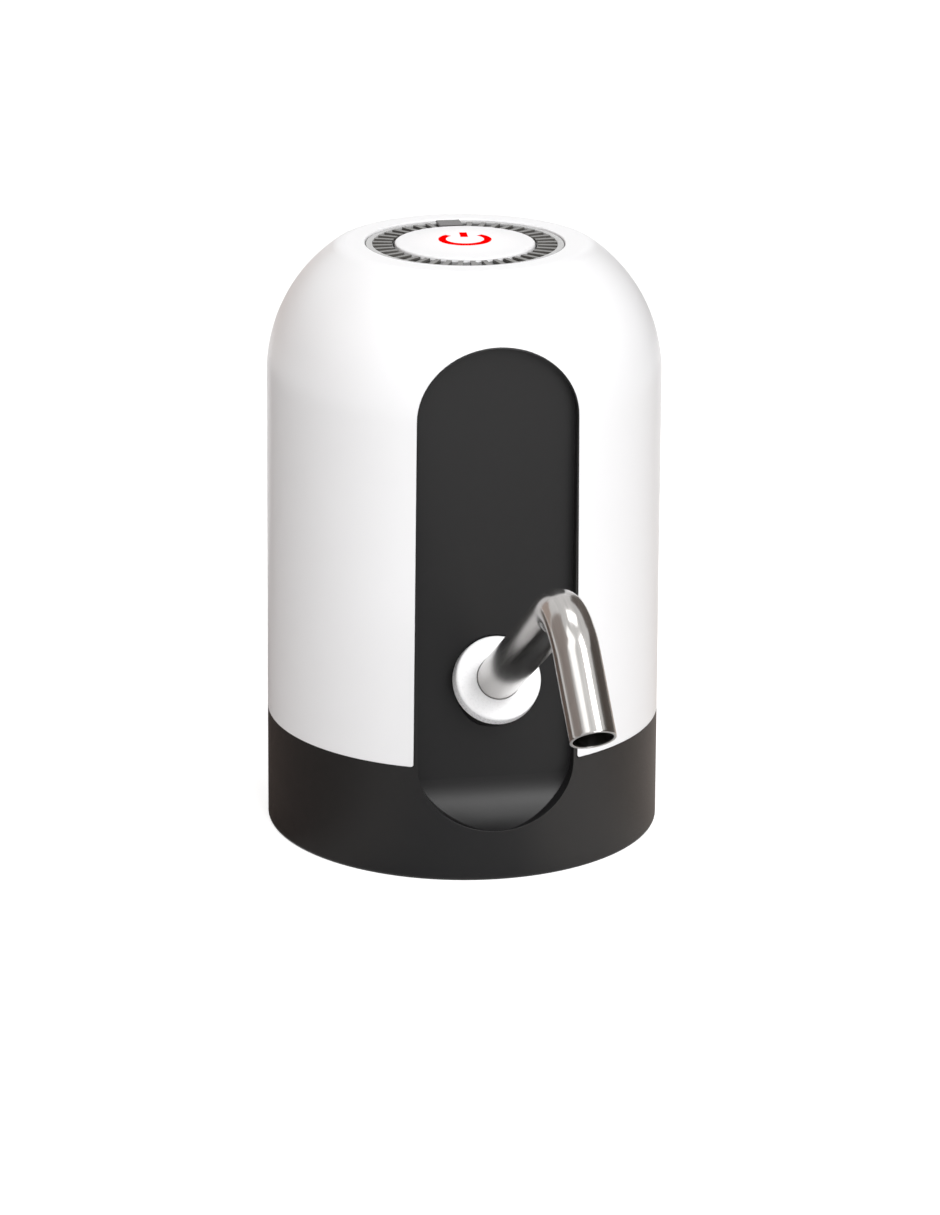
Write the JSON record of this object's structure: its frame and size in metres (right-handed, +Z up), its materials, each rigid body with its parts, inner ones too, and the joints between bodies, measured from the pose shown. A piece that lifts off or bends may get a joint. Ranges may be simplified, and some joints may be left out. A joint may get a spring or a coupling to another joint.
{
  "type": "bottled water pump",
  "caption": "Battery pump that sits on the neck of a water bottle and lifts water through a bent swivelling spout when its top button is pressed.",
  "frame": {"origin": "centre of the base rim, at the mouth of the neck socket", "axes": "+Z up along the neck's axis, front panel and spout towards -Y"},
  "size_m": [0.075, 0.1518, 0.1132],
  "materials": {
    "white_shell": "smooth satin white moulding",
    "dark_body": "satin near-black moulding",
    "clear_ring": "clear moulding with radial ribs",
    "stainless": "polished stainless tube",
    "silicone": "translucent food grade silicone",
    "pump_plastic": "natural moulding",
    "gear_plastic": "white acetal",
    "steel": "plain zinc or nickel plated steel",
    "bronze": "sintered bronze",
    "copper": "copper",
    "ferrite": "sintered ferrite",
    "carbon": "pressed carbon",
    "frame_plastic": "black moulding",
    "cell_wrap": "plain shrink sleeve over the can",
    "circuit_board": "green laminate",
    "component_black": "moulded component bodies",
    "lamp": "clear lamp bodies"
  },
  "bodies": {
    "housing": {"outer_shell": "white_shell", "spout_collar": "white_shell", "base_body": "dark_body", "light_ring": "clear_ring", "neck_seal": "silicone", "inlet_grommet": "silicone", "pump_gasket": "silicone", "shaft_seal": "silicone", "outlet_hose": "silicone", "spout_o_ring": "silicone", "pump_cover": "pump_plastic", "pump_housing": "pump_plastic", "outlet_fitting": "pump_plastic", "idler_pin": "steel", "motor_can": "steel", "battery_tabs": "steel", "usb_socket": "steel", "shell_screws": "steel", "chassis_screws": "steel", "pump_screws": "steel", "motor_screws": "steel", "board_screws": "steel", "retainer_screws": "steel", "motor_bushes": "bronze", "motor_magnets": "ferrite", "motor_brushes": "carbon", "chassis": "frame_plastic", "battery_cradle": "frame_plastic", "button_retainer": "frame_plastic", "motor_end_cap": "frame_plastic", "battery_cell": "cell_wrap", "control_board": "circuit_board", "button_board": "circuit_board", "board_components": "component_black", "tact_switch": "component_black", "charge_led": "lamp", "ring_leds": "lamp"},
    "button": {"power_button": "white_shell", "switch_plunger": "component_black"},
    "spout": {"spout_tube": "stainless"},
    "rotor": {"motor_shaft": "steel", "rotor_core": "steel", "rotor_windings": "copper", "commutator": "copper", "drive_gear": "gear_plastic"},
    "idler": {"driven_gear": "gear_plastic"}
  },
  "joints": [
    {"name": "button_press", "type": "slide", "parent": "housing", "child": "button", "axis": [0, 0, -1], "range_m": [0, 0.0008], "stiffness_N_per_m": 2500, "springref_m": -0.0002},
    {"name": "spout_swivel", "type": "hinge", "parent": "housing", "child": "spout", "pos_m": [0, -0.0363, 0.0394], "axis": [0, -0.866, 0.5], "continuous": true},
    {"name": "motor_spin", "type": "hinge", "parent": "housing", "child": "rotor", "pos_m": [0.005, -0.0045, 0.0305], "axis": [0, 0, 1], "continuous": true},
    {"name": "idler_spin", "type": "hinge", "parent": "housing", "child": "idler", "pos_m": [-0.005, -0.0045, 0.0305], "axis": [0, 0, 1], "continuous": true}
  ],
  "couplings": [
    {"joint": "idler_spin", "follows": "motor_spin", "ratio": -1}
  ]
}
